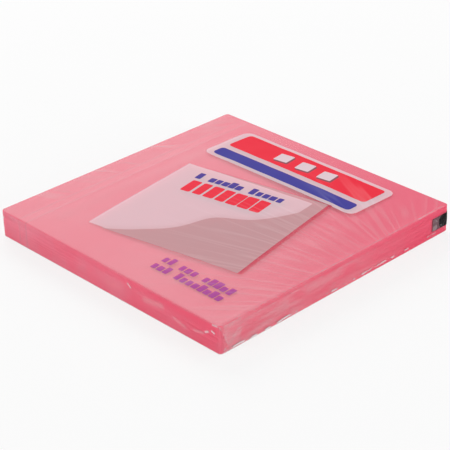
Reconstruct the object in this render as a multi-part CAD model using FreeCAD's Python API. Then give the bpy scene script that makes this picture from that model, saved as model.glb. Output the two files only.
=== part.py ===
# A pad of square sticky notes, sealed in its clear wrap and lying flat. Lengths are in mm.
# X runs along the wrap's tube to its two folded ends, +Y is the notes' glued edge, and
# Z is up from the table. The origin is under the middle of the pad.

import FreeCAD, Part
import os

from FreeCAD import Vector

# The notes and the liner under the last one
note_side = 76.0
note_corner = 0.8
sheet_count = 80
sheet_thickness = 0.086
backing_thickness = 0.10

# The tear tape, a narrow band stuck to the inside of the wrap
tape_thickness = 0.04
tape_width = 2.8
tape_from_edge = 7.7
tape_skew = 0.85

# The wrap: one film, closed along the underside by a lap and at each end by an envelope fold.
# A flap's run is how far each of its sloping sides leans in on the way to its cut edge.
film_thickness = 0.03
lap_width = 12.0
tuck_depth = 6.2
bottom_flap_reach = 6.1
bottom_flap_run = 6.6
top_flap_reach_front = 6.6
top_flap_reach_back = 5.6
top_flap_run = 2.6

# Heights, from the lap on the table up to the top of the wrap
wrap_bottom = film_thickness
backing_bottom = wrap_bottom + film_thickness + tape_thickness
block_bottom = backing_bottom + backing_thickness
block_height = sheet_count * sheet_thickness
pad_height = backing_thickness + block_height
wrap_height = pad_height + 2 * (tape_thickness + film_thickness)
wrap_top = wrap_bottom + wrap_height

# The wrap's outside, and the flat zone of an end where the folded layers lie
wrap_side = note_side + 2 * (tape_thickness + film_thickness)
wrap_edge_bend = tape_thickness + film_thickness
wrap_corner = note_corner + wrap_edge_bend
wrap_end = wrap_side / 2
zone_half = wrap_end - wrap_corner
zone_bottom = wrap_bottom + wrap_edge_bend
zone_top = wrap_top - wrap_edge_bend

# A patch of film with less than this volume is only rounding left over from an overlap
smallest_patch = 1e-4


def square_slab(side, corner, bottom, height, edge_bend=0.0):
    """A square slab with round upright corners, and its other edges bent if asked."""
    slab = Part.makeBox(side, side, height, Vector(-side / 2, -side / 2, bottom))
    upright = [edge for edge in slab.Edges if edge.tangentAt(edge.FirstParameter).z ** 2 > 0.5]
    slab = slab.makeFillet(corner, upright)
    if edge_bend == 0:
        return slab
    rim = [edge for edge in slab.Edges if edge.BoundBox.ZLength < height / 2]
    return slab.makeFillet(edge_bend, rim)


def make_note_block():
    return square_slab(note_side, note_corner, block_bottom, block_height)


def make_backing_sheet():
    return square_slab(note_side, note_corner, backing_bottom, backing_thickness)


def make_cavity():
    """The room inside the wrap: the pad and the tape's thickness all round it."""
    return square_slab(
        note_side + 2 * tape_thickness,
        note_corner + tape_thickness,
        backing_bottom - tape_thickness,
        pad_height + 2 * tape_thickness,
        tape_thickness,
    )


def make_tear_tape():
    """The band that goes once round the pad, between the pad and the film."""
    pad = square_slab(note_side, note_corner, backing_bottom, pad_height)
    lining = make_cavity().cut(pad)
    strip = Part.makeBox(
        tape_width, 2 * note_side, 2 * wrap_height,
        Vector(-tape_width / 2, -note_side, wrap_bottom - wrap_height / 2),
    )
    strip.rotate(Vector(0, 0, 0), Vector(0, 0, 1), tape_skew)
    strip.translate(Vector(tape_from_edge - note_side / 2, 0, 0))
    return lining.common(strip)


def end_patch(points):
    """One layer of film on the +X end, from its (y, z) corners, kept to the end's flat zone."""
    corners = [Vector(wrap_end, y, z) for y, z in points]
    patch = Part.Face(Part.makePolygon(corners + corners[:1])).extrude(Vector(film_thickness, 0, 0))
    zone = Part.makeBox(
        film_thickness, 2 * zone_half, zone_top - zone_bottom,
        Vector(wrap_end, -zone_half, zone_bottom),
    )
    return patch.common(zone)


def end_fold_patches():
    """Every layer of one envelope fold, in the order in which they are folded in.

    First the tube's two sides tuck in. Then the bottom flap folds up and the top flap folds
    down over it, each with a gusset at both corners where its film doubles under itself.
    """
    half = wrap_end
    patches = []
    for side in (-1, 1):
        patches.append(end_patch([
            (side * half, wrap_bottom),
            (side * (half - tuck_depth), wrap_bottom),
            (side * (half - tuck_depth), wrap_top),
            (side * half, wrap_top),
        ]))
    up_to = wrap_bottom + bottom_flap_reach
    for side in (-1, 1):
        patches.append(end_patch([
            (side * half, wrap_bottom),
            (side * (half - tuck_depth), wrap_bottom),
            (side * (half - bottom_flap_run), up_to),
        ]))
    patches.append(end_patch([
        (-half, wrap_bottom),
        (half, wrap_bottom),
        (half - bottom_flap_run, up_to),
        (-half + bottom_flap_run, up_to),
    ]))
    down_to = {-1: wrap_top - top_flap_reach_front, 1: wrap_top - top_flap_reach_back}
    for side in (-1, 1):
        patches.append(end_patch([
            (side * half, wrap_top),
            (side * (half - tuck_depth), wrap_top),
            (side * (half - top_flap_run), down_to[side]),
        ]))
    patches.append(end_patch([
        (-half, wrap_top),
        (half, wrap_top),
        (half - top_flap_run, down_to[1]),
        (-half + top_flap_run, down_to[-1]),
    ]))
    return patches


def stack_patches(patches):
    """Let each patch settle on those before it: level n is where more than n layers lie."""
    levels = []
    for patch in patches:
        settling = patch
        for n, level in enumerate(levels):
            shared = level.common(settling)
            levels[n] = level.fuse(settling).removeSplitter()
            settling = shared
            if settling.Volume < smallest_patch:
                break
        else:
            levels.append(settling)
    return levels


def make_end_fold():
    """The layers of the +X fold that lie outside the first, heat sealed into one piece."""
    layers = []
    for n, level in enumerate(stack_patches(end_fold_patches())[1:]):
        level.translate(Vector(n * film_thickness, 0, 0))
        layers.extend(solid for solid in level.Solids if solid.Volume > smallest_patch)
    return layers


def make_film_wrap():
    tube = square_slab(wrap_side, wrap_corner, wrap_bottom, wrap_height, wrap_edge_bend)
    tube = tube.cut(make_cavity())
    lap_length = 2 * (wrap_end - wrap_corner)
    lap = Part.makeBox(
        lap_length, lap_width, film_thickness,
        Vector(-lap_length / 2, -lap_width / 2, wrap_bottom - film_thickness),
    )
    near_end = make_end_fold()
    far_end = [layer.mirror(Vector(0, 0, 0), Vector(1, 0, 0)) for layer in near_end]
    return tube.fuse([lap] + near_end + far_end).removeSplitter()


def main():
    os.makedirs("parts", exist_ok=True)
    pieces = {
        "note_block": make_note_block(),
        "backing_sheet": make_backing_sheet(),
        "tear_tape": make_tear_tape(),
        "film_wrap": make_film_wrap(),
    }
    for name, shape in pieces.items():
        shape.exportStep("parts/" + name + ".step")
        box = shape.BoundBox
        print(
            name, "valid", shape.isValid(), "solids", len(shape.Solids), "faces", len(shape.Faces),
            "volume", round(shape.Volume, 3),
            "x", round(box.XMin, 3), round(box.XMax, 3),
            "y", round(box.YMin, 3), round(box.YMax, 3),
            "z", round(box.ZMin, 3), round(box.ZMax, 3),
        )


main()
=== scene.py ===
import math

import bpy
import numpy as np
from mathutils import Matrix, Vector


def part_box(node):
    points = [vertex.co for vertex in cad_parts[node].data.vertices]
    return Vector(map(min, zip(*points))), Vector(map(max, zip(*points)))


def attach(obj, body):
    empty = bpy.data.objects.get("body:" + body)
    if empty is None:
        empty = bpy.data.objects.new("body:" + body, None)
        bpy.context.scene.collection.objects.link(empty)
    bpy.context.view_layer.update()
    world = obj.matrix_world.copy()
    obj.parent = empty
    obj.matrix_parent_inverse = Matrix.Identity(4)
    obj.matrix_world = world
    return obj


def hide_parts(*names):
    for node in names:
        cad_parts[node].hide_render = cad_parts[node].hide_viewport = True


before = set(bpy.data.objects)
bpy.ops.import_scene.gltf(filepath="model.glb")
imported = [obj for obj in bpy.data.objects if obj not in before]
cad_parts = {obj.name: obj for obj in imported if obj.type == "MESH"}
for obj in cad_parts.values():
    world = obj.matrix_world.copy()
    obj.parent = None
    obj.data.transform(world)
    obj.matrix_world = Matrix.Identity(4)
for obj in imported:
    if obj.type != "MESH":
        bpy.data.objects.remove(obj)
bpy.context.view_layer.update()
blockLow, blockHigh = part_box("note_block")
tapeLow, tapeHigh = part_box("tear_tape")
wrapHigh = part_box("film_wrap")[1]
mm = 0.001

# The pad's own sizes in mm, read from the frame
padHalf = blockHigh.x / mm
blockBottom = blockLow.z / mm
blockTop = blockHigh.z / mm
wrapTop = wrapHigh.z / mm
tapeMiddle = (tapeLow.x + tapeHigh.x) / 2 / mm
quarterTurn = math.pi / 2

scene = bpy.context.scene
scene.view_settings.view_transform = "Standard"
scene.cycles.transparent_max_bounces = 32  # a ray crosses many layers of clear film, in and out
print("frame loaded, pad half", round(padHalf, 3), "mm, top", round(wrapTop, 3), "mm")


# Small helpers for node trees

def newMaterial(name):
    material = bpy.data.materials.new(name)
    material.use_nodes = True
    material.node_tree.nodes.clear()
    return material, material.node_tree


def feed(tree, socket, value):
    # another node's output is linked, and anything else becomes the input's own value
    if isinstance(value, bpy.types.NodeSocket):
        tree.links.new(value, socket)
    elif socket.type == "RGBA":
        socket.default_value = (*value, 1)
    else:
        socket.default_value = value


def place(tree, kind, **values):
    # values named after a socket feed that socket, the others are the node's own settings
    node = tree.nodes.new(kind)
    for key, value in values.items():
        if hasattr(node, key):
            setattr(node, key, value)
        else:
            feed(tree, node.inputs[key.replace("_", " ")], value)
    return node


def placeInTurn(tree, kind, *values, **settings):
    # values feed the node's inputs in their order
    node = place(tree, kind, **settings)
    for socket, value in zip(node.inputs, values):
        feed(tree, socket, value)
    return node.outputs[0]


def calc(tree, operation, *values):
    return placeInTurn(tree, "ShaderNodeMath", *values, operation=operation)


def times(tree, product, *others):
    for other in others:
        product = calc(tree, "MULTIPLY", product, other)
    return product


def timesPlus(tree, first, second, added):
    return calc(tree, "MULTIPLY_ADD", first, second, added)


def minus(tree, first, second):
    return calc(tree, "SUBTRACT", first, second)


def absolute(tree, value):
    return calc(tree, "ABSOLUTE", value)


def hypotenuse(tree, x, y):
    return calc(tree, "SQRT", timesPlus(tree, x, x, times(tree, y, y)))


def step(tree, value, low, high):
    return placeInTurn(tree, "ShaderNodeMapRange", value, low, high, interpolation_type="SMOOTHSTEP")


def blendColour(tree, amount, first, second):
    node = place(tree, "ShaderNodeMix", data_type="RGBA")
    for index, value in ((0, amount), (6, first), (7, second)):
        feed(tree, node.inputs[index], value)
    return node.outputs[2]


def blendValue(tree, amount, first, second):
    node = tree.nodes.new("ShaderNodeMix")
    for index, value in ((0, amount), (2, first), (3, second)):
        feed(tree, node.inputs[index], value)
    return node.outputs[0]


def noise(tree, point, scale, detail, roughness=0.5):
    return place(
        tree, "ShaderNodeTexNoise", Vector=point, Scale=scale, Detail=detail, Roughness=roughness,
    ).outputs[0]


def vector(tree, **parts):
    return place(tree, "ShaderNodeCombineXYZ", **parts).outputs[0]


def stretched(tree, point, factors):
    return placeInTurn(tree, "ShaderNodeVectorMath", point, factors, operation="MULTIPLY")


def turned(tree, x, y, angle):
    # flat coordinates along a direction that is turned by an angle, and across it
    cosine, sine = calc(tree, "COSINE", angle), calc(tree, "SINE", angle)
    along = timesPlus(tree, x, cosine, times(tree, y, sine))
    return along, minus(tree, times(tree, y, cosine), times(tree, x, sine))


def placeInMm(tree):
    coords = tree.nodes.new("ShaderNodeTexCoord")
    point = stretched(tree, coords.outputs["Object"], (1 / mm,) * 3)
    return point, *place(tree, "ShaderNodeSeparateXYZ", Vector=point).outputs


def newGroup(name, inputs, outputs):
    # every input is a number, but for a place, which is a vector
    tree = bpy.data.node_groups.new(name, "ShaderNodeTree")
    for label in inputs:
        kind = "NodeSocketVector" if label == "place" else "NodeSocketFloat"
        tree.interface.new_socket(label, in_out="INPUT", socket_type=kind)
    for label in outputs:
        tree.interface.new_socket(label, in_out="OUTPUT", socket_type="NodeSocketFloat")
    return tree, tree.nodes.new("NodeGroupInput").outputs, tree.nodes.new("NodeGroupOutput").inputs


def useGroup(tree, group, **values):
    node = place(tree, "ShaderNodeGroup", node_tree=group)
    for key, value in values.items():
        feed(tree, node.inputs[key], value)
    return node.outputs


# A block of print: a turned rectangle with round corners, from flat coordinates in mm
def makeBlockGroup():
    tree, g, result = newGroup(
        "printBlock",
        ("along", "up", "centreX", "centreY", "halfWidth", "halfHeight", "turn", "corner", "soft"),
        ("mask",),
    )
    x = minus(tree, g["along"], g["centreX"])
    y = minus(tree, g["up"], g["centreY"])
    past = []
    for reach, half in zip(turned(tree, x, y, g["turn"]), (g["halfWidth"], g["halfHeight"])):
        past.append(minus(tree, absolute(tree, reach), minus(tree, half, g["corner"])))
    outX, outY = (calc(tree, "MAXIMUM", side, 0.0) for side in past)
    inside = calc(tree, "MINIMUM", calc(tree, "MAXIMUM", *past), 0.0)
    distance = calc(tree, "ADD", hypotenuse(tree, outX, outY), inside)
    distance = minus(tree, distance, g["corner"])
    halfSoft = times(tree, g["soft"], 0.5)
    feed(tree, result["mask"], step(tree, distance, halfSoft, times(tree, halfSoft, -1.0)))
    return tree


# A row of placeholder print: upright blocks of uneven width, some left out as gaps
rowShape = ("turn", "pitch", "count", "height", "seed", "fill", "gaps", "short")


def makeRowGroup():
    tree, g, result = newGroup(
        "placeholderRow", ("along", "up", "startX", "startY", *rowShape), ("mask",),
    )
    x = minus(tree, g["along"], g["startX"])
    y = minus(tree, g["up"], g["startY"])
    along, up = turned(tree, x, y, g["turn"])
    cell = calc(tree, "FLOOR", calc(tree, "DIVIDE", along, g["pitch"]))
    middle = times(tree, calc(tree, "ADD", cell, 0.5), g["pitch"])
    where = vector(tree, X=cell, Y=g["seed"])
    chance = place(tree, "ShaderNodeTexWhiteNoise", noise_dimensions="2D", Vector=where)
    chances = place(tree, "ShaderNodeSeparateColor", Color=chance.outputs["Color"]).outputs
    uneven = timesPlus(tree, chances[0], 0.3, 0.8)
    halfWidth = times(tree, g["pitch"], g["fill"], uneven, 0.5)
    isTall = calc(tree, "GREATER_THAN", chances[1], g["short"])
    halfHeight = times(tree, g["height"], timesPlus(tree, isTall, 0.28, 0.72), 0.5)
    block = useGroup(
        tree, printBlock, along=along, up=up, centreX=middle,
        centreY=minus(tree, halfHeight, times(tree, g["height"], 0.5)),
        halfWidth=halfWidth, halfHeight=halfHeight, corner=times(tree, halfWidth, 0.35), soft=0.15,
    )["mask"]
    kept = calc(tree, "GREATER_THAN", chances[2], g["gaps"])
    fromStart = calc(tree, "GREATER_THAN", along, 0.0)
    beforeEnd = calc(tree, "LESS_THAN", along, times(tree, g["pitch"], g["count"]))
    feed(tree, result["mask"], times(tree, block, fromStart, beforeEnd, kept))
    return tree


# Fibre and mottle of uncoated paper, as a tint mask and a height
def makePaperGrainGroup():
    tree, g, result = newGroup(
        "paperGrain", ("place", "fibreScale", "mottleScale"), ("tint", "height"),
    )
    fibre = noise(tree, g["place"], g["fibreScale"], 4.0, 0.6)
    mottle = noise(tree, g["place"], g["mottleScale"], 2.0)
    feed(tree, result["tint"], timesPlus(tree, fibre, 0.5, times(tree, mottle, 0.5)))
    feed(tree, result["height"], fibre)
    return tree


# The milky patches of worn film, as a factor that varies evenly about 1
def makeHazeGroup():
    tree, g, result = newGroup("filmHaze", ("place", "spread", "scale"), ("factor",))
    share = step(tree, noise(tree, g["place"], g["scale"], 3.0, 0.55), 0.35, 0.7)
    low, high = minus(tree, 1.0, g["spread"]), calc(tree, "ADD", 1.0, g["spread"])
    feed(tree, result["factor"], blendValue(tree, share, low, high))
    return tree


# Fine creases that fan out from one point, as a mask
def makeCreaseGroup():
    tree, g, result = newGroup(
        "fannedCreases",
        ("along", "up", "focusX", "focusY", "step", "length", "fadeFrom", "fadeTo", "reach"),
        ("mask",),
    )
    x = minus(tree, g["focusX"], g["along"])
    y = minus(tree, g["up"], g["focusY"])
    angle = calc(tree, "DEGREES", calc(tree, "ARCTAN2", y, x))
    away = hypotenuse(tree, x, y)
    turnedBy = calc(tree, "DIVIDE", angle, g["step"])
    where = vector(tree, X=turnedBy, Y=calc(tree, "DIVIDE", away, g["length"]))
    offLine = absolute(tree, minus(tree, noise(tree, where, 1.0, 1.0, 0.4), 0.5))
    ridge = step(tree, offLine, g["reach"], 0.0)
    patchy = step(tree, noise(tree, where, 0.9, 0.0), 0.3, 0.6)
    feed(tree, result["mask"], times(tree, patchy, step(tree, away, g["fadeFrom"], g["fadeTo"]), ridge))
    return tree


printBlock = makeBlockGroup()
placeholderRow = makeRowGroup()
paperGrain = makePaperGrainGroup()
filmHaze = makeHazeGroup()
fannedCreases = makeCreaseGroup()
print("shader groups made")


# The camera stands where the photograph was taken, found from the pad's edges
camera = {
    "azimuth": 46.65,
    "elevation": 28.70,
    "roll": -1.48,
    "distance": 0.3798,
    "target": (-0.00281, 0.00280, 0.0),
    "lens": 124.27,
}


def makeCamera(c):
    data = bpy.data.cameras.new("photoCamera")
    data.sensor_width = 36.0
    data.lens = c["lens"]
    data.clip_start = 0.01
    data.clip_end = 20.0
    azimuth = math.radians(c["azimuth"])
    elevation = math.radians(c["elevation"])
    roll = math.radians(c["roll"])
    back = Vector((
        math.sin(azimuth) * math.cos(elevation),
        -math.cos(azimuth) * math.cos(elevation),
        math.sin(elevation),
    ))
    level = Vector((0, 0, 1)).cross(back).normalized()
    upright = back.cross(level)
    right = level * math.cos(roll) + upright * math.sin(roll)
    up = upright * math.cos(roll) - level * math.sin(roll)
    seat = Vector(c["target"]) + back * c["distance"]
    obj = bpy.data.objects.new("photoCamera", data)
    scene.collection.objects.link(obj)
    facing = Matrix((right, up, back)).transposed()
    obj.matrix_world = Matrix.Translation(seat) @ facing.to_4x4()
    scene.camera = obj


makeCamera(camera)
print("camera placed")


# The note stack: single sheets, squared up by hand and never quite in line
stack = {
    "sheets": 80,
    "corner": 0.8,
    "cornerPoints": 4,
    "thicknessShare": 0.9,
    "slip": 0.022,
    "turn": 0.05,
    "seed": 7,
    "paper": (0.89, 0.138, 0.218),
    "paperDeep": (0.86, 0.118, 0.194),
    "edgeTint": (0.86, 0.07, 0.152),
    "roughness": 0.85,
}


def makeSheetTree(sheetObject, material):
    tree = bpy.data.node_groups.new("noteStackTree", "GeometryNodeTree")
    sockets = {}
    for label in ("sheets", "pitch", "lowest", "slip", "turn", "seed"):
        kind = "NodeSocketInt" if label in ("sheets", "seed") else "NodeSocketFloat"
        sockets[label] = tree.interface.new_socket(label, in_out="INPUT", socket_type=kind)
    tree.interface.new_socket("notes", in_out="OUTPUT", socket_type="NodeSocketGeometry")
    g = tree.nodes.new("NodeGroupInput").outputs
    line = place(
        tree, "GeometryNodeMeshLine", Count=g["sheets"], Offset=vector(tree, Z=g["pitch"]),
        Start_Location=vector(tree, Z=g["lowest"]),
    )
    # each sheet slips a little sideways and turns a little
    slipMost = vector(tree, X=g["slip"], Y=g["slip"])
    slipLeast = stretched(tree, slipMost, (-1, -1, -1))
    slip = place(tree, "FunctionNodeRandomValue", data_type="FLOAT_VECTOR", Seed=g["seed"])
    turn = place(tree, "FunctionNodeRandomValue", Seed=g["seed"])
    turnLeast = times(tree, g["turn"], -1.0)
    for node, index, value in (
        (slip, 0, slipLeast), (slip, 1, slipMost), (turn, 2, turnLeast), (turn, 3, g["turn"]),
    ):
        feed(tree, node.inputs[index], value)
    moved = place(
        tree, "GeometryNodeSetPosition", Geometry=line.outputs[0], Offset=slip.outputs[0],
    )
    sheet = place(tree, "GeometryNodeObjectInfo", Object=sheetObject)
    placed = place(
        tree, "GeometryNodeInstanceOnPoints", Points=moved.outputs[0],
        Instance=sheet.outputs["Geometry"], Rotation=vector(tree, Z=turn.outputs[1]),
    )
    real = place(tree, "GeometryNodeRealizeInstances", Geometry=placed.outputs[0])
    done = place(tree, "GeometryNodeSetMaterial", Geometry=real.outputs[0], Material=material)
    place(tree, "NodeGroupOutput", notes=done.outputs[0])
    return tree, sockets


def addObject(name, mesh):
    obj = bpy.data.objects.new(name, mesh)
    scene.collection.objects.link(obj)
    return obj


def meshFrom(name, points, faces, smooth=True):
    # points arrive in mm and are kept in metres
    mesh = bpy.data.meshes.new(name)
    mesh.from_pydata((np.asarray(points, dtype=float) * mm).tolist(), [], faces)
    mesh.validate()
    mesh.polygons.foreach_set("use_smooth", [smooth] * len(mesh.polygons))
    mesh.update()
    return mesh


def makeOneSheet(s, half, thickness):
    outline = []
    for quarter, (signX, signY) in enumerate(((1, 1), (-1, 1), (-1, -1), (1, -1))):
        middle = half - s["corner"]
        for k in range(s["cornerPoints"]):
            angle = (quarter + k / (s["cornerPoints"] - 1)) * quarterTurn
            outline.append((
                middle * signX + s["corner"] * math.cos(angle),
                middle * signY + s["corner"] * math.sin(angle),
            ))
    count = len(outline)
    points = [(x, y, z) for z in (0.0, thickness) for x, y in outline]
    faces = [list(range(count))[::-1], list(range(count, 2 * count))]
    for k in range(count):
        after = (k + 1) % count
        faces.append([k, after, count + after, count + k])
    return meshFrom("oneNote", points, faces, smooth=False)


def makePaperMaterial(s):
    material, tree = newMaterial("notePaper")
    point, x, y, z = placeInMm(tree)
    grain = useGroup(tree, paperGrain, place=point, fibreScale=2.6, mottleScale=0.09)
    colour = blendColour(tree, grain["tint"], s["paperDeep"], s["paper"])
    # at the cut sides every sheet shows its own edge, a shade deeper than its face
    sideways = calc(tree, "MAXIMUM", absolute(tree, x), absolute(tree, y))
    atSide = step(tree, sideways, padHalf - 0.35, padHalf - 0.15)
    below = calc(tree, "LESS_THAN", z, blockTop - 0.04)
    layers = step(tree, noise(tree, stretched(tree, point, (0.05, 0.05, 9.0)), 1.0, 3.0), 0.3, 0.75)
    colour = blendColour(tree, times(tree, atSide, below, layers), colour, s["edgeTint"])
    bump = place(tree, "ShaderNodeBump", Strength=0.25, Distance=0.02 * mm, Height=grain["height"])
    surface = place(
        tree, "ShaderNodeBsdfPrincipled", Base_Color=colour, Roughness=s["roughness"],
        Specular_IOR_Level=0.25, Normal=bump.outputs[0],
    )
    place(tree, "ShaderNodeOutputMaterial", Surface=surface.outputs[0])
    return material


def makeNoteStack(s):
    pitch = (blockTop - blockBottom) / s["sheets"]
    oneSheet = makeOneSheet(s, padHalf - s["slip"], pitch * s["thicknessShare"])
    pattern = addObject("onePattern", oneSheet)
    tree, sockets = makeSheetTree(pattern, makePaperMaterial(s))
    holder = addObject("noteStackMaker", bpy.data.meshes.new("empty"))
    modifier = holder.modifiers.new("stack", "NODES")
    modifier.node_group = tree
    values = {
        "sheets": s["sheets"],
        "pitch": pitch * mm,
        "lowest": blockBottom * mm,
        "slip": s["slip"] * mm,
        "turn": math.radians(s["turn"]),
        "seed": s["seed"],
    }
    for label, value in values.items():
        modifier[sockets[label].identifier] = value
    ready = holder.evaluated_get(bpy.context.evaluated_depsgraph_get())
    mesh = bpy.data.meshes.new_from_object(ready)
    mesh.name = "noteStack"
    holder.modifiers.remove(modifier)
    bpy.data.objects.remove(holder)
    bpy.data.objects.remove(pattern)
    piece = addObject("noteStack", mesh)
    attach(piece, "root")
    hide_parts("note_block")


makeNoteStack(stack)
print("note stack made")


# Seeded unevenness, as a sum of a few long waves with values near -1 to 1
def waver(x, y, seed, reach):
    chance = np.random.default_rng(seed)
    total = np.zeros(np.broadcast(x, y).shape)
    for _ in range(6):
        heading = chance.uniform(0, math.tau)
        phase = chance.uniform(0, math.tau)
        length = reach * chance.uniform(0.6, 1.7)
        ahead = x * math.cos(heading) + y * math.sin(heading)
        total = total + np.sin(ahead * math.tau / length + phase)
    return total / 3.0


def ease(low, high, value):
    t = np.clip((value - low) / (high - low), 0.0, 1.0)
    return t * t * (3 - 2 * t)


# The film skin: tight along the edges, standing off the paper in the middle, and finely wrinkled
film = {
    "cells": 172,
    "sideRows": 14,
    "bendRows": 4,
    "bend": 0.4,
    "lowBendShare": 0.6,
    "corner": 1.05,
    "standOff": 0.10,
    "underside": 0.03,
    "crown": 0.75,
    "crownMiddle": (9.0, 0.0),
    "leftRipple": 0.09,
    "leftRippleStep": 5.6,
    "ridgeAt": -24.6,
    "ridgeHeight": 0.12,
    "ridgeWidth": 1.5,
    "edgeWave": 0.05,
    "unevenness": 0.03,
    "wallSwell": 0.06,
    "wallWave": 0.05,
    "wallRipple": 0.02,
    "gather": 0.25,
    "seed": 21,
}
filmHalf = padHalf + film["standOff"]


def crownHeight(f, x, y):
    middleX, middleY = f["crownMiddle"]
    towards = np.where(x > middleX, filmHalf - middleX, -filmHalf - middleX)
    acrossX = (x - middleX) / towards
    acrossY = np.abs(y - middleY) / filmHalf
    dome = (1 - np.clip(acrossX, 0, 1) ** 2.2) * (1 - np.clip(acrossY, 0, 1) ** 2.4)
    return f["crown"] * dome ** 1.1


def leftRipples(f, x, y):
    # short slanting ripples between the tear tape and the left edge
    upper = y - 1.0 * x
    lower = y + 1.7 * x
    share = ease(-6.0, 6.0, y)
    phase = share * upper + (1 - share) * lower + 1.6 * waver(x, y, f["seed"] + 2, 15.0)
    wave = 0.5 + 0.5 * np.cos(phase * math.tau / f["leftRippleStep"])
    return f["leftRipple"] * wave ** 2 * ease(-31.6, -34.0, x)


def longRidge(f, x, y):
    sway = f["ridgeAt"] + 0.9 * waver(y, y * 0, f["seed"] + 3, 40.0)
    across = np.exp(-((x - sway) / f["ridgeWidth"]) ** 2)
    return f["ridgeHeight"] * across * ease(-36.0, -26.0, y) * ease(34.0, 24.0, y)


def edgeLip(f, x, y):
    # the film stands up a little where it turns down over the right end
    lip = ease(filmHalf - 1.5, filmHalf - 0.9, x) * ease(filmHalf - 0.1, filmHalf - 0.6, x)
    lip = lip * ease(filmHalf, filmHalf - 2.0, np.abs(y))
    return f["edgeWave"] * lip * (1 + 0.5 * waver(y, y * 0, f["seed"] + 8, 5.0))


def topHeight(f, x, y):
    reach = np.maximum(np.abs(x), np.abs(y))
    loose = ease(filmHalf - 0.3, filmHalf - 2.6, reach)
    uneven = f["unevenness"] * waver(x, y, f["seed"] + 4, 9.0)
    slack = loose * (leftRipples(f, x, y) + longRidge(f, x, y) + uneven)
    return crownHeight(f, x, y) + edgeLip(f, x, y) + slack


def squareToRound(x, y, corner):
    # bends the rings of a square grid so that each has round corners
    ring = np.maximum(np.abs(x), np.abs(y))
    radius = np.minimum(corner, ring)
    low = np.minimum(np.abs(x), np.abs(y))
    flat = ring - radius
    t = np.where(radius > 0, np.clip((low - flat) / np.maximum(radius, 1e-9), 0, 1), 0)
    angle = t * quarterTurn / 2
    major = np.where(low > flat, flat + radius * np.cos(angle), ring)
    minor = np.where(low > flat, flat + radius * np.sin(angle), low)
    wideX = np.abs(x) >= np.abs(y)
    return np.sign(x) * np.where(wideX, major, minor), np.sign(y) * np.where(wideX, minor, major)


def borderWalk(cells):
    # grid places once round the square's border, anticlockwise from (-,-)
    walk = [(i, 0) for i in range(cells)]
    walk += [(cells, j) for j in range(cells)]
    walk += [(cells - i, cells) for i in range(cells)]
    walk += [(0, cells - j) for j in range(cells)]
    return np.array(walk).T


def skinRings(f, inner):
    # reach and height of each ring below the top: the bend, the side wall, the lower bend
    quarter = [k / f["bendRows"] * quarterTurn for k in range(1, f["bendRows"] + 1)]
    lowBend = f["bend"] * f["lowBendShare"]
    wallTop, wallFoot = wrapTop - f["bend"], f["underside"] + lowBend
    rings = [(inner + f["bend"] * math.sin(a), wallTop + f["bend"] * math.cos(a)) for a in quarter]
    for k in range(1, f["sideRows"] + 1):
        rings.append((filmHalf, wallTop + (wallFoot - wallTop) * k / f["sideRows"]))
    rings += [(inner + f["bend"] * math.cos(a), wallFoot - lowBend * math.sin(a)) for a in quarter]
    return rings


def wallSwell(f, x, y, height):
    # the side walls bulge most halfway up, unevenly
    mid = 1 - abs(2 * (height - f["underside"]) / (wrapTop - f["underside"]) - 1)
    swell = mid ** 0.5 * (
        f["wallSwell"] + f["wallWave"] * waver(x + height, y - height, f["seed"] + 5, 11.0)
    )
    return swell + f["wallRipple"] * waver(x * 3, y * 3 + height * 4, f["seed"] + 6, 10.0)


def makeSkinMesh(f):
    cells = f["cells"]
    inner = filmHalf - f["bend"]
    steps = np.linspace(-1, 1, cells + 1)
    # grid lines lie closer together towards the edges
    gathered = np.sin(steps * 1.15) / math.sin(1.15)
    steps = gathered * f["gather"] + steps * (1 - f["gather"])
    grid = np.meshgrid(steps * inner, steps * inner, indexing="ij")
    flatX, flatY = squareToRound(*grid, f["corner"] * inner / filmHalf)
    top = np.stack([flatX, flatY, wrapTop + topHeight(f, flatX, flatY)], axis=-1).reshape(-1, 3)
    bottom = np.stack([flatX, flatY, np.full(flatX.shape, f["underside"])], axis=-1).reshape(-1, 3)
    walkI, walkJ = borderWalk(cells)
    border = walkI * (cells + 1) + walkJ

    points = [top]
    rings = skinRings(f, inner)
    for reach, height in rings:
        x, y = squareToRound(steps[walkI] * reach, steps[walkJ] * reach, f["corner"])
        swell = wallSwell(f, x, y, height)
        onX = np.abs(x) > np.abs(y)
        x = x + np.where(onX, np.sign(x) * swell, 0)
        y = y + np.where(onX, 0, np.sign(y) * swell)
        points.append(np.stack([x, y, np.full(len(x), height)], axis=-1))

    # the last ring is the underside grid's border, so only the grid's inside is new
    count = len(border)
    ringStart = [len(top) + k * count for k in range(len(rings))]
    inside = np.ones((cells + 1) ** 2, dtype=bool)
    inside[border] = False
    number = np.zeros((cells + 1) ** 2, dtype=int)
    number[inside] = len(top) + len(rings) * count + np.arange(inside.sum())
    number[border] = ringStart[-1] + np.arange(count)
    points.append(bottom[inside])

    i, j = np.meshgrid(np.arange(cells), np.arange(cells), indexing="ij")
    a = (i * (cells + 1) + j).reshape(-1)
    quads = np.stack([a, a + cells + 1, a + cells + 2, a + 1], axis=-1)
    faces = [quads, number[quads][:, ::-1]]
    loops = [border] + [start + np.arange(count) for start in ringStart]
    for upper, lower in zip(loops[:-1], loops[1:]):
        faces.append(np.stack([upper, lower, np.roll(lower, -1), np.roll(upper, -1)], axis=-1))
    return meshFrom("filmSkin", np.concatenate(points), np.concatenate(faces).tolist())


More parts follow.
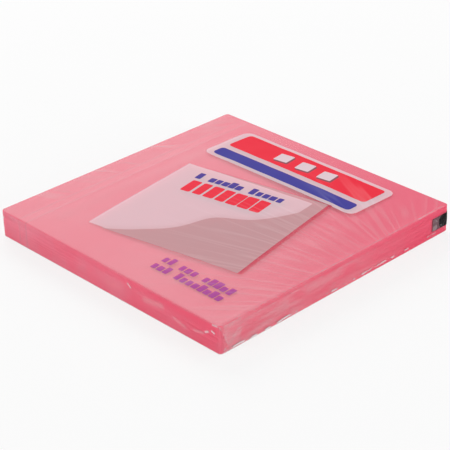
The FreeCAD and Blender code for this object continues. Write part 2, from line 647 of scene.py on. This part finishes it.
# The print. Each field is a block with its place and size in mm, laid in the order of its list
ink = {
    "white": (0.95, 0.79, 0.85),
    "red": (0.94, 0.022, 0.052),
    "blue": (0.05, 0.045, 0.33),
    "purple": (0.45, 0.075, 0.42),
    "grey": (0.665, 0.48, 0.495),
    "dull": (0.17, 0.10, 0.115),
    "dusty": (0.32, 0.24, 0.26),
    "shade": (0.25, 0.10, 0.12),
    "shadow": (0.70, 0.045, 0.10),
    "black": (0.012, 0.01, 0.012),
}
# the label at the top: a pale panel with a red band over a blue one, and three small squares
topPrint = [
    {"at": (0.0, 25.3), "size": (51.0, 16.4), "corner": 2.2, "ink": "white", "cover": 0.64},
    {"at": (0.0, 28.2), "size": (46.5, 8.2), "corner": 1.0, "ink": "red", "cover": 0.96},
    {"at": (0.0, 20.3), "size": (46.5, 3.8), "corner": 1.0, "ink": "blue", "cover": 0.97},
]
for squareX in (7.4, 0.0, -7.4):
    topPrint += [
        {"at": (squareX + 0.6, 27.9), "size": (4.2, 4.2), "turn": 0.16, "ink": "shade", "cover": 0.6},
        {"at": (squareX, 28.4), "size": (4.0, 4.0), "turn": 0.16, "ink": "white", "cover": 0.8},
    ]
# the picture of two notes, one behind the other
topPrint += [
    # first a painted shadow, as the raised film's print would cast it onto the paper beside the back note
    {"at": (3.7, -4.95), "size": (38.4, 37.7), "turn": 0.185, "ink": "shadow", "cover": 0.4,
     "soft": 1.0},
    {"at": (2.65, -5.2), "size": (38.8, 37.9), "turn": 0.185, "ink": "grey", "cover": 0.62},
]
frontNote = {"at": (-1.2, -6.4), "size": (38.1, 37.7), "turn": 0.135, "ink": "white", "cover": 0.64}
# its edge bows out from its diagonal in two humps, with its corner rolled up between them
curl = {
    "from": (-17.9, -28.2),
    "to": (15.5, 15.2),
    "bow": 7.0,
    "dip": 3.6,
    "dipAt": 30.0,
    "dipWidth": 6.5,
    "roll": 2.4,
    "rollShade": 0.22,
}
rowTurn = math.radians(10.5)
printRows = [
    {"start": (-16.2, 6.4), "turn": rowTurn, "pitch": 2.0, "count": 13, "height": 3.0,
     "seed": 3, "ink": "blue", "cover": 0.93, "fill": 0.84, "gaps": 0.06, "short": 0.6},
    {"start": (-14.6, 1.0), "turn": rowTurn, "pitch": 3.4, "count": 7, "height": 5.9,
     "seed": 9, "ink": "red", "cover": 0.95, "fill": 0.87, "gaps": 0.0, "short": 0.0},
]
for rowY, rowSeed in ((-26.9, 5), (-30.2, 12)):
    printRows.append(
        {"start": (8.4, rowY), "turn": 0.015, "pitch": 1.85, "count": 12, "height": 2.6,
         "seed": rowSeed, "ink": "purple", "cover": 0.74, "fill": 0.84, "gaps": 0.08, "short": 0.55}
    )
# a printed patch on the far side wall, folded round the corner onto the right end
sidePrint = [
    {"at": (38.9, 3.6), "size": (14.0, 3.4), "corner": 0.1, "ink": "dull", "cover": 0.9},
    {"at": (32.0, 3.6), "size": (0.2, 3.4), "corner": 0.05, "ink": "shade", "cover": 0.8},
    {"at": (33.0, 2.7), "size": (1.5, 1.3), "corner": 0.5, "ink": "dusty", "cover": 0.9},
    {"at": (38.9, 3.6), "size": (9.0, 3.4), "corner": 1.5, "ink": "black", "cover": 1.0},
]

# The film's look. Pairs are the places in mm between which an effect comes in
filmLook = {
    # haze on the top is partly a painted sheen of reflected light, which fades towards the far right
    # corner
    "haze": 0.165,
    "hazeAndSheenFar": 0.008,
    "sheenLean": (80.0, -20.0),
    "sideHaze": 0.2185,
    "sideHazeLean": (50.0, -90.0),
    "clingHeight": (4.6, 6.2),
    "clingAlong": (-30.0, 20.0),
    "clingShare": 0.4,
    "foldHaze": 0.048,
    "foldHazeFar": 0.0,
    "foldHazeCorner": 1.25,
    # cut edges: milky film with a painted glint
    "cutEdgeMilkAndGlint": 0.85,
    "cutEdgeMilkAndGlintFar": 0.25,
    # the pale colour of haze, and of the painted highlights, glints and sheen
    "hazeAndSheenColour": (0.92, 0.86, 0.88),
    "sideHazeColour": (0.92, 0.66, 0.76),
    "roughness": 0.28,
    "inkRoughness": 0.6,
    "mirror": 0.012,
    "wallMirror": 0.0084,
    "foldMirror": 0.0015,
    "slantMirror": 6.0,
    "slantPower": 4.2,
    "creaseHeight": 0.03,
    # the painted highlight along the creases: how much it covers and how pale it is
    "creaseSheenCover": 0.09,
    "creaseSheenPale": 0.12,
    "lipCover": 0.42,
    "lipWidth": (0.26, 0.08),
    "rippleHeight": 0.004,
}
# fine straight creases from the right end, wide apart above and close below, and slants at the left
creaseFans = [
    {"focus": (56.0, 7.0), "step": 4.6, "length": 30.0, "fade": (62.0, 28.0), "axis": "y",
     "ends": (3.0, 11.0), "reach": 0.10},
    {"focus": (68.0, 3.0), "step": 2.2, "length": 40.0, "fade": (82.0, 38.0), "axis": "y",
     "ends": (11.0, 3.0), "reach": 0.09},
    {"focus": (-115.0, -62.0), "step": 2.6, "length": 30.0, "fade": (400.0, 300.0), "axis": "x",
     "ends": (-30.8, -34.0), "reach": 0.075},
]
# the band of the long ridge, which gets a painted highlight
ridgeBand = {"at": (film["ridgeAt"], -1.0), "size": (2.6, 62.0), "turn": 0.02, "corner": 1.0, "soft": 2.4}
# painted glints on the near side wall, where its wrinkles would catch the light, and fainter pale streaks
wallGlintsAndStreaks = [
    {"at": (34.0, 4.3), "size": (1.4, 0.5), "turn": 0.5, "cover": 0.55},
    {"at": (36.0, 5.1), "size": (1.2, 0.45), "turn": -0.3, "cover": 0.6},
    {"at": (36.5, 6.9), "size": (1.6, 0.4), "turn": 0.1, "cover": 0.5},
    {"at": (31.5, 3.3), "size": (3.4, 0.7), "turn": 0.2, "cover": 0.22},
    {"at": (-37.2, 5.4), "size": (0.9, 0.5), "turn": 0.6, "cover": 0.6},
    {"at": (9.0, 5.4), "size": (1.5, 0.4), "turn": -0.6, "cover": 0.5},
    {"at": (17.0, 4.2), "size": (7.0, 1.3), "turn": 0.12, "cover": 0.2},
    {"at": (25.5, 2.9), "size": (4.2, 0.8), "turn": -0.25, "cover": 0.2},
    {"at": (3.5, 3.4), "size": (6.0, 1.0), "turn": 0.08, "cover": 0.16},
]


def blockMask(tree, along, up, block):
    (atX, atY), (wide, high) = block["at"], block["size"]
    return useGroup(
        tree, printBlock, along=along, up=up, centreX=atX, centreY=atY, halfWidth=wide / 2,
        halfHeight=high / 2, turn=block.get("turn", 0.0), corner=block.get("corner", 0.3),
        soft=block.get("soft", 0.12),
    )["mask"]


def layInk(tree, colour, cover, mask, field):
    # the ink's colour comes in ahead of its cover, so that its edge has no pale rim
    early = calc(tree, "MINIMUM", times(tree, mask, 4.0), 1.0)
    colour = blendColour(tree, early, colour, ink[field["ink"]])
    return colour, blendValue(tree, mask, cover, field["cover"])


def layFields(tree, colour, cover, along, up, where, fields):
    for field in fields:
        mask = times(tree, blockMask(tree, along, up, field), where)
        colour, cover = layInk(tree, colour, cover, mask, field)
    return colour, cover


def curlReach(tree, x, y):
    # how far a place lies inside the front note's bowed edge, in mm
    start, end = Vector(curl["from"]), Vector(curl["to"])
    length = (end - start).length
    ahead = (end - start) / length
    outX = minus(tree, x, start.x)
    outY = minus(tree, y, start.y)
    along = timesPlus(tree, outX, ahead.x, times(tree, outY, ahead.y))
    across = timesPlus(tree, outX, ahead.y, times(tree, outY, -ahead.x))
    share = timesPlus(tree, along, 2 / length, -1.0)
    squared = timesPlus(tree, share, times(tree, share, -1.0), 1.0)
    bow = calc(tree, "SQRT", calc(tree, "MAXIMUM", squared, 0.0))
    fromDip = calc(tree, "DIVIDE", minus(tree, along, curl["dipAt"]), curl["dipWidth"])
    dip = calc(tree, "EXPONENT", times(tree, fromDip, fromDip, -1.0))
    edge = timesPlus(tree, dip, -curl["dip"], times(tree, bow, curl["bow"]))
    return minus(tree, edge, across)


def addTopPrint(tree, colour, cover, x, y, z):
    onTop = calc(tree, "GREATER_THAN", z, wrapTop - 1.0)
    colour, cover = layFields(tree, colour, cover, x, y, onTop, topPrint)
    inside = curlReach(tree, x, y)
    mask = times(tree, blockMask(tree, x, y, frontNote), onTop, step(tree, inside, -0.08, 0.08))
    colour, cover = layInk(tree, colour, cover, mask, frontNote)
    roll = times(tree, mask, step(tree, inside, curl["roll"], 0.0), curl["rollShade"])
    colour = blendColour(tree, roll, colour, ink["grey"])
    for row in printRows:
        startX, startY = row["start"]
        shape = {key: row[key] for key in rowShape}
        mask = useGroup(
            tree, placeholderRow, along=x, up=y, startX=startX, startY=startY, **shape,
        )["mask"]
        colour, cover = layInk(tree, colour, cover, times(tree, mask, onTop), row)
    return colour, cover


def addSidePrint(tree, colour, cover, x, y, z):
    # past the corner the patch goes on along the wall, as far as x falls short of the end
    wall = padHalf - 0.2
    onEnd = calc(tree, "GREATER_THAN", x, wall)
    onFar = calc(tree, "GREATER_THAN", y, wall)
    pastCorner = times(tree, minus(tree, 2 * padHalf, x), onFar)
    along = calc(tree, "MAXIMUM", y, pastCorner)
    where = calc(tree, "MAXIMUM", onEnd, onFar)
    return layFields(tree, colour, cover, along, z, where, sidePrint)


def addWallGlintsAndStreaks(tree, colour, cover, x, y, z, tone):
    onNear = calc(tree, "LESS_THAN", y, 0.2 - padHalf)
    for wallMark in wallGlintsAndStreaks:
        high = wallMark["size"][1]
        mask = blockMask(tree, x, z, {**wallMark, "corner": high * 0.45, "soft": high})
        mask = times(tree, mask, onNear)
        # each glint and streak is painted in the pale haze colour
        colour = blendColour(tree, mask, colour, tone)
        cover = blendValue(tree, mask, cover, wallMark["cover"])
    return colour, cover


def addCreases(tree, x, y):
    total = 0.0
    for fan in creaseFans:
        rays = useGroup(
            tree, fannedCreases, along=x, up=y, focusX=fan["focus"][0], focusY=fan["focus"][1],
            step=fan["step"], length=fan["length"], fadeFrom=fan["fade"][0], fadeTo=fan["fade"][1],
            reach=fan["reach"],
        )["mask"]
        kept = step(tree, y if fan["axis"] == "y" else x, *fan["ends"])
        total = timesPlus(tree, rays, kept, total)
    return total


def finishFilm(tree, look, colour, cover, point, creases, mirror, roughness):
    # film that print or haze covers in part, with cover as its alpha, all under one thin gloss
    ripples = noise(tree, point, 0.3, 1.0)
    height = timesPlus(tree, ripples, look["rippleHeight"], creases)
    bump = place(tree, "ShaderNodeBump", Strength=1.0, Distance=mm, Height=height).outputs[0]
    gloss = place(tree, "ShaderNodeBsdfGlossy", Color=(1, 1, 1), Roughness=roughness, Normal=bump)
    # both faces of the film mirror a little, and more at a low angle, the same from either side
    slant = place(tree, "ShaderNodeLayerWeight", Blend=0.5, Normal=bump)
    low = calc(tree, "POWER", slant.outputs["Facing"], look["slantPower"])
    mirrored = times(tree, timesPlus(tree, low, look["slantMirror"], 1.0), mirror)
    printed = place(
        tree, "ShaderNodeBsdfPrincipled", Base_Color=colour, Alpha=cover, Roughness=roughness,
        Specular_IOR_Level=0.0, Normal=bump,
    )
    whole = placeInTurn(tree, "ShaderNodeMixShader", mirrored, printed.outputs[0], gloss.outputs[0])
    place(tree, "ShaderNodeOutputMaterial", Surface=whole)


def hazePatches(tree, point, spread, scale):
    return useGroup(tree, filmHaze, place=point, spread=spread, scale=scale)["factor"]


def makeSkinMaterial(look):
    material, tree = newMaterial("printedFilm")
    point, x, y, z = placeInMm(tree)
    pale = look["hazeAndSheenColour"]
    # the top's whitish veil is milky haze with a painted sheen of the soft box's reflection, strongest on
    # the left and fading to almost none at the far right corner
    farRight = calc(tree, "ADD", x, y)
    topSheenLean = blendValue(tree, step(tree, farRight, *look["sheenLean"]), look["hazeAndSheenFar"], look["haze"])
    topHazeAndSheen = times(tree, hazePatches(tree, point, 0.12, 0.06), topSheenLean)
    # on the walls it clings to the paper close under its top edge, and is clearer there
    clings = times(tree, step(tree, z, *look["clingHeight"]), step(tree, x, *look["clingAlong"]))
    wallHaze = times(
        tree, hazePatches(tree, point, 0.3, 0.1), look["sideHaze"],
        step(tree, farRight, *look["sideHazeLean"]), blendValue(tree, clings, 1.0, look["clingShare"]),
    )
    onWall = step(tree, z, wrapTop - 0.15, wrapTop - 0.4)
    onTop = minus(tree, 1.0, onWall)
    cover = blendValue(tree, onWall, topHazeAndSheen, wallHaze)
    colour = blendColour(tree, onWall, pale, look["sideHazeColour"])
    colour, cover = addTopPrint(tree, colour, cover, x, y, z)
    colour, cover = addSidePrint(tree, colour, cover, x, y, z)
    # ink mirrors less sharply than clear film
    inked = step(tree, cover, 0.36, 0.5)
    roughness = blendValue(tree, inked, look["roughness"], look["inkRoughness"])
    colour, cover = addWallGlintsAndStreaks(tree, colour, cover, x, y, z, pale)
    # the sharp creases and the long ridge get painted highlights where they would catch the light, paler
    # and with more cover, on the clear film and over the print
    creased = times(tree, addCreases(tree, x, y), onTop)
    band = times(tree, blockMask(tree, x, y, ridgeBand), onTop)
    creaseSheen = calc(tree, "MINIMUM", timesPlus(tree, band, 0.3, creased), 1.0)
    colour = blendColour(tree, times(tree, creaseSheen, look["creaseSheenPale"]), colour, pale)
    cover = timesPlus(tree, creaseSheen, look["creaseSheenCover"], cover)
    # the lip that stands up along the right end catches the light as an uneven line
    sway = noise(tree, point, 0.35, 2.0)
    fromLip = absolute(tree, minus(tree, x, timesPlus(tree, sway, 0.5, padHalf - 0.65)))
    lip = times(
        tree, step(tree, fromLip, *look["lipWidth"]), onTop,
        step(tree, absolute(tree, y), padHalf - 0.6, padHalf - 3.0),
        timesPlus(tree, sway, 1.3, -0.1),
    )
    colour = blendColour(tree, lip, colour, pale)
    cover = calc(tree, "MAXIMUM", cover, times(tree, lip, look["lipCover"]))
    # the side walls shine less than the top
    mirror = blendValue(tree, onWall, look["mirror"], look["wallMirror"])
    creases = times(tree, creased, look["creaseHeight"])
    finishFilm(tree, look, colour, cover, point, creases, mirror, roughness)
    return material


def finishPlainFilm(tree, look, cover, point):
    finishFilm(
        tree, look, look["hazeAndSheenColour"], cover, point, 0.0, look["foldMirror"], look["roughness"],
    )


def makeFoldMaterial(look):
    material, tree = newMaterial("foldedFilm")
    point, x, y, z = placeInMm(tree)
    haze = times(
        tree, hazePatches(tree, stretched(tree, point, (1.0, 0.4, 2.2)), 0.5, 0.3), look["foldHaze"],
    )
    fade = step(tree, y, -20.0, padHalf)
    atCorner = blendValue(tree, step(tree, y, -25.0, -33.0), 1.0, look["foldHazeCorner"])
    offCorner = step(tree, absolute(tree, y), padHalf - 0.2, padHalf - 1.6)
    cover = times(
        tree, blendValue(tree, fade, haze, look["foldHazeFar"]), atCorner,
        blendValue(tree, offCorner, 0.2, 1.0),
    )
    # a cut edge shows as a broken pale line, the milky cut film with a painted glint where it would catch
    # the light, by the sheet's own map
    sheet = place(tree, "ShaderNodeUVMap", uv_map="sheet").outputs[0]
    fromEdge, shows = place(tree, "ShaderNodeSeparateXYZ", Vector=sheet).outputs[:2]
    edge = times(
        tree, step(tree, fromEdge, 0.5, 0.2), step(tree, noise(tree, point, 0.5, 1.0), 0.5, 0.6),
        blendValue(tree, fade, 1.0, look["cutEdgeMilkAndGlintFar"]), shows,
    )
    finishPlainFilm(tree, look, blendValue(tree, edge, cover, look["cutEdgeMilkAndGlint"]), point)
    return material


def addFilmPiece(name, mesh, material):
    mesh.materials.append(material)
    piece = addObject(name, mesh)
    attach(piece, "root")
    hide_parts("film_wrap")


addFilmPiece("filmSkin", makeSkinMesh(film), makeSkinMaterial(filmLook))
print("film skin made and printed")


# The end folds: two tucks, then the bottom flap, then the top flap, all of the same thin film
folds = {
    "rows": 26,
    "cols": 220,
    "filmThickness": 0.03,
    "tuckDepth": 6.2,
    "bottomReach": (6.1, 6.1),
    "bottomRun": 6.6,
    "topReach": (6.55, 5.6),
    "topRun": 2.6,
    "firstLift": 0.04,
    "layerStep": 0.07,
    "wave": 0.03,
    "edgeCurl": 0.16,
    "seed": 40,
}


def thinSheet(front, depth, edgeMap):
    # a closed thin sheet from a grid of points, thickened by depth against its facing side
    rows, cols, _ = front.shape
    edgeMap = np.stack([np.broadcast_to(part, (rows, cols)).reshape(-1) for part in edgeMap], axis=-1)
    back = front - np.asarray(depth)
    points = np.concatenate([front.reshape(-1, 3), back.reshape(-1, 3)])
    number = np.arange(rows * cols).reshape(rows, cols)
    quads = np.stack([number[:-1, :-1], number[:-1, 1:], number[1:, 1:], number[1:, :-1]], axis=-1)
    quads = quads.reshape(-1, 4)
    rim = np.concatenate([number[0, :-1], number[:-1, -1], number[-1, :0:-1], number[:0:-1, 0]])
    after = np.roll(rim, -1)
    far = rows * cols
    sides = np.stack([after, rim, rim + far, after + far], axis=-1)
    return points, np.concatenate([quads, quads[:, ::-1] + far, sides]), np.tile(edgeMap, (2, 1))


def joinSheets(sheets):
    points, faces, edges = zip(*sheets)
    before = np.cumsum([0] + [len(part) for part in points[:-1]])
    faces = [part + used for part, used in zip(faces, before)]
    return np.concatenate(points), np.concatenate(faces), np.concatenate(edges)


def sheetMesh(name, points, faces, edgeMap):
    # the map keeps how far each point is from its cut edge, in mm, and how much that edge shows
    mesh = meshFrom(name, points, faces.tolist())
    corners = np.zeros(len(mesh.loops), dtype=np.int32)
    mesh.loops.foreach_get("vertex_index", corners)
    places = edgeMap[corners].astype(np.float32)
    mesh.uv_layers.new(name="sheet").data.foreach_set("uv", places.reshape(-1))
    return mesh


def endSheet(f, outline, layer, seed, curlEdge, tipShows, sidesShow):
    # outline(s, t) gives a place across the end and its height, with t from fold to cut edge
    t = np.linspace(0, 1, f["rows"])[:, None]
    s = np.linspace(0, 1, f["cols"])[None, :]
    y, z = outline(s, t)
    pastCorner = np.clip(np.abs(y) - (filmHalf - film["corner"]), 0, film["corner"])
    roundOff = film["corner"] - np.sqrt(film["corner"] ** 2 - pastCorner ** 2)
    lift = f["firstLift"] + layer * f["layerStep"] * ease(0.0, 0.12, t)
    ripple = f["wave"] * (1 + waver(y, z * 1.5, seed, 7.0)) * ease(0.0, 0.3, t)
    curlUp = curlEdge * t ** 6 * (0.5 + 0.5 * waver(y, z * 0, seed + 1, 5.0))
    x, y, z = np.broadcast_arrays(filmHalf - roundOff + lift + ripple + curlUp, y, z)
    wide = np.hypot(y[:, -1:] - y[:, :1], z[:, -1:] - z[:, :1])
    deep = np.hypot(y[-1:, :] - y[:1, :], z[-1:, :] - z[:1, :])
    fromTip, fromSide = (1 - t) * deep, np.minimum(s, 1 - s) * wide
    edgeMap = (np.minimum(fromTip, fromSide), np.where(fromTip < fromSide, tipShows, sidesShow))
    return thinSheet(np.stack([x, y, z], axis=-1), (f["filmThickness"], 0, 0), edgeMap)


def makeEndFold(f, side):
    half = filmHalf + 0.02
    low = film["underside"] + 0.12
    high = wrapTop - 0.12

    def tuckOutline(sign):
        def outline(s, t):
            inward = f["tuckDepth"] * t + 0.1 * waver(s * 7.0, t, f["seed"] + 9, 6.0) * t
            return sign * (half - inward), low + (high - low) * (s if sign < 0 else 1 - s)
        return outline

    def flapOutline(fold, direction, reach, run, seed):
        def outline(s, t):
            y = (half - run * t) * (2 * s - 1) * direction
            share = (y / half + 1) / 2
            longest = reach[0] + (reach[1] - reach[0]) * share + 0.16 * waver(y, y * 0, seed, 9.0)
            return y, fold + direction * longest * t
        return outline

    bottomFlap = flapOutline(low, 1, f["bottomReach"], f["bottomRun"], f["seed"] + 2)
    topFlap = flapOutline(high, -1, f["topReach"], f["topRun"], f["seed"] + 4)
    points, faces, edgeMap = joinSheets([
        endSheet(f, tuckOutline(-1), 0, f["seed"], 0.0, 0.15, 0.0),
        endSheet(f, tuckOutline(1), 0, f["seed"] + 1, 0.0, 0.15, 0.0),
        endSheet(f, bottomFlap, 1, f["seed"] + 3, 0.03, 0.12, 0.6),
        endSheet(f, topFlap, 2.4, f["seed"] + 5, f["edgeCurl"], 1.0, 0.12),
    ])
    if side < 0:
        points = points * np.array([-1.0, 1.0, 1.0])
        faces = faces[:, ::-1]
    return points, faces, edgeMap


foldedFilm = makeFoldMaterial(filmLook)
for side, name in ((1, "rightEndFold"), (-1, "leftEndFold")):
    addFilmPiece(name, sheetMesh(name, *makeEndFold(folds, side)), foldedFilm)
print("end folds made")


# The lap along the underside, where the tube of film is sealed to itself
lap = {"width": 12.0, "shortBy": 1.0, "drift": 0.12, "edgeShows": 0.3, "rows": 40, "cols": 8}


def makeLap(f):
    end = padHalf - f["shortBy"]
    along = np.linspace(-end, end, f["rows"])[:, None]
    across = np.linspace(-0.5, 0.5, f["cols"])[None, :] * f["width"]
    drift = across + f["drift"] * waver(along, along * 0, 61, 30.0)
    flat = np.stack(np.broadcast_arrays(along, drift, np.zeros(1)), axis=-1)
    edgeMap = (f["width"] / 2 - np.abs(across), f["edgeShows"])
    return thinSheet(flat, (0, 0, -film["underside"]), edgeMap)


addFilmPiece("lapSeam", sheetMesh("lapSeam", *makeLap(lap)), foldedFilm)


# The tear tape, stuck inside the film all the way round, with its two edges just showing
tape = {
    "width": 2.8,
    "skew": math.radians(0.85),
    "thickness": 0.035,
    "below": 0.035,
    "edgeHaze": 0.16,
    "bodyHaze": 0.002,
    "edgeWidth": 0.22,
}


def makeTape(f):
    half = filmHalf - f["below"] - 0.02
    high, low = wrapTop - f["below"], film["underside"] + 0.01
    steps = np.linspace(-1, 1, 200)
    walls = np.linspace(0, 1, 12)[1:-1]
    path = [(u * half, 1) for u in steps] + [(half, 1 - 2 * w) for w in walls]
    path += [(-u * half, -1) for u in steps] + [(-half, -1 + 2 * w) for w in walls]
    across = np.linspace(-0.5, 0.5, 7) * f["width"]
    outer = np.zeros((len(path), len(across), 3))
    for k, (y, level) in enumerate(path):
        x = tapeMiddle + across * math.cos(f["skew"]) - y * math.sin(f["skew"])
        lift = topHeight(film, x, np.full(len(x), y)) if level == 1 else 0.0
        outer[k, :, 0] = x
        outer[k, :, 1] = y
        outer[k, :, 2] = (high + low) / 2 + level * (high - low) / 2 + lift
    outward = [(0.0, np.sign(y) * (abs(level) < 1), level * (abs(level) == 1)) for y, level in path]
    inner = outer - np.array(outward)[:, None, :] * f["thickness"]
    rows, cols = outer.shape[:2]
    number = np.arange(rows * cols).reshape(rows, cols)
    after = np.roll(number, -1, axis=0)
    far = rows * cols
    quads = np.stack([number[:, :-1], number[:, 1:], after[:, 1:], after[:, :-1]], axis=-1).reshape(-1, 4)
    rim = np.array([0, 0, far, far])
    faces = [
        quads,
        quads[:, ::-1] + far,
        np.stack([after[:, 0], number[:, 0], number[:, 0], after[:, 0]], axis=-1) + rim,
        np.stack([number[:, -1], after[:, -1], after[:, -1], number[:, -1]], axis=-1) + rim,
    ]
    points = np.concatenate([outer.reshape(-1, 3), inner.reshape(-1, 3)])
    return meshFrom("tearTape", points, np.concatenate(faces).tolist())


def makeTapeMaterial(f):
    material, tree = newMaterial("tearTapeFilm")
    point, x, y, z = placeInMm(tree)
    straight = timesPlus(tree, y, math.tan(f["skew"]), x)
    fromMiddle = absolute(tree, minus(tree, straight, tapeMiddle))
    half, edgeWidth = f["width"] / 2, f["edgeWidth"]
    edge = step(tree, fromMiddle, half - edgeWidth, half - edgeWidth * 0.3)
    finishPlainFilm(tree, filmLook, blendValue(tree, edge, f["bodyHaze"], f["edgeHaze"]), point)
    return material


tapeMesh = makeTape(tape)
tapeMesh.materials.append(makeTapeMaterial(tape))
tapePiece = addObject("tearTape", tapeMesh)
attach(tapePiece, "root")
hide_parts("tear_tape")
print("lap and tear tape made")


# The liner under the last note keeps its solid and gets a smooth coated paper
liner = {"paper": (0.90, 0.89, 0.86), "deep": (0.84, 0.83, 0.80), "roughness": 0.45}


def finishLiner(f):
    material, tree = newMaterial("linerPaper")
    point = placeInMm(tree)[0]
    grain = useGroup(tree, paperGrain, place=point, fibreScale=1.4, mottleScale=0.2)
    colour = blendColour(tree, grain["tint"], f["deep"], f["paper"])
    surface = place(tree, "ShaderNodeBsdfPrincipled", Base_Color=colour, Roughness=f["roughness"])
    place(tree, "ShaderNodeOutputMaterial", Surface=surface.outputs[0])
    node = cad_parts["backing_sheet"]
    node.data.materials.clear()
    node.data.materials.append(material)


finishLiner(liner)
print("liner finished")


# A plain white table in a white room, with a soft box behind on the left
stage = {
    "floorSize": 3.0,
    "floorColour": (0.93, 0.93, 0.93),
    "floorGlow": 0.8,
    "floorDrop": 0.03,
    "world": 0.40,
}
lamps = [
    {"name": "softBox", "at": (-0.729, 0.404, 0.455), "size": 0.66, "power": 5.0, "mirrored": True},
    {"name": "fillLeft", "at": (-0.246, -0.916, 0.22), "size": 0.5, "power": 3.9, "mirrored": False},
    {"name": "fillRight", "at": (0.916, 0.246, 0.22), "size": 0.5, "power": 3.9, "mirrored": False},
    {"name": "backEdge", "at": (0.127, 0.545, 0.705), "size": 0.34, "power": 0.8, "mirrored": True},
]


def seenItself(tree):
    # 1 where the camera, a mirror or clear film sees a surface, 0 where only its light arrives
    path = tree.nodes.new("ShaderNodeLightPath").outputs
    seen = calc(tree, "MAXIMUM", path["Is Camera Ray"], path["Is Glossy Ray"])
    return calc(tree, "MAXIMUM", seen, path["Is Transmission Ray"])


def makeFloor(s):
    half = s["floorSize"] / 2 / mm
    corners = [(x * half, y * half, -s["floorDrop"]) for x, y in ((-1, -1), (1, -1), (1, 1), (-1, 1))]
    floor = addObject("floor", meshFrom("floor", corners, [[0, 1, 2, 3]], smooth=False))
    material, tree = newMaterial("whiteTable")
    lit = place(tree, "ShaderNodeBsdfDiffuse", Color=s["floorColour"])
    glow = place(tree, "ShaderNodeEmission", Strength=1.0)
    share = times(tree, seenItself(tree), s["floorGlow"])
    whole = placeInTurn(tree, "ShaderNodeMixShader", share, lit.outputs[0], glow.outputs[0])
    place(tree, "ShaderNodeOutputMaterial", Surface=whole)
    floor.data.materials.append(material)


def makeWorld(s):
    world = bpy.data.worlds.new("studio")
    scene.world = world
    world.use_nodes = True
    tree = world.node_tree
    tree.nodes.clear()
    strength = blendValue(tree, seenItself(tree), s["world"], 1.0)
    background = place(tree, "ShaderNodeBackground", Color=(1, 1, 1), Strength=strength)
    place(tree, "ShaderNodeOutputWorld", Surface=background.outputs[0])


def makeLamp(f):
    data = bpy.data.lights.new(f["name"], "AREA")
    data.shape = "DISK"
    data.size = f["size"]
    data.energy = f["power"]
    obj = bpy.data.objects.new(f["name"], data)
    scene.collection.objects.link(obj)
    obj.visible_camera = False
    obj.visible_glossy = f["mirrored"]
    obj.location = f["at"]
    obj.rotation_euler = (-Vector(f["at"])).to_track_quat("-Z", "Y").to_euler()


makeFloor(stage)
makeWorld(stage)
for lamp in lamps:
    makeLamp(lamp)
print("stage and lamps set")
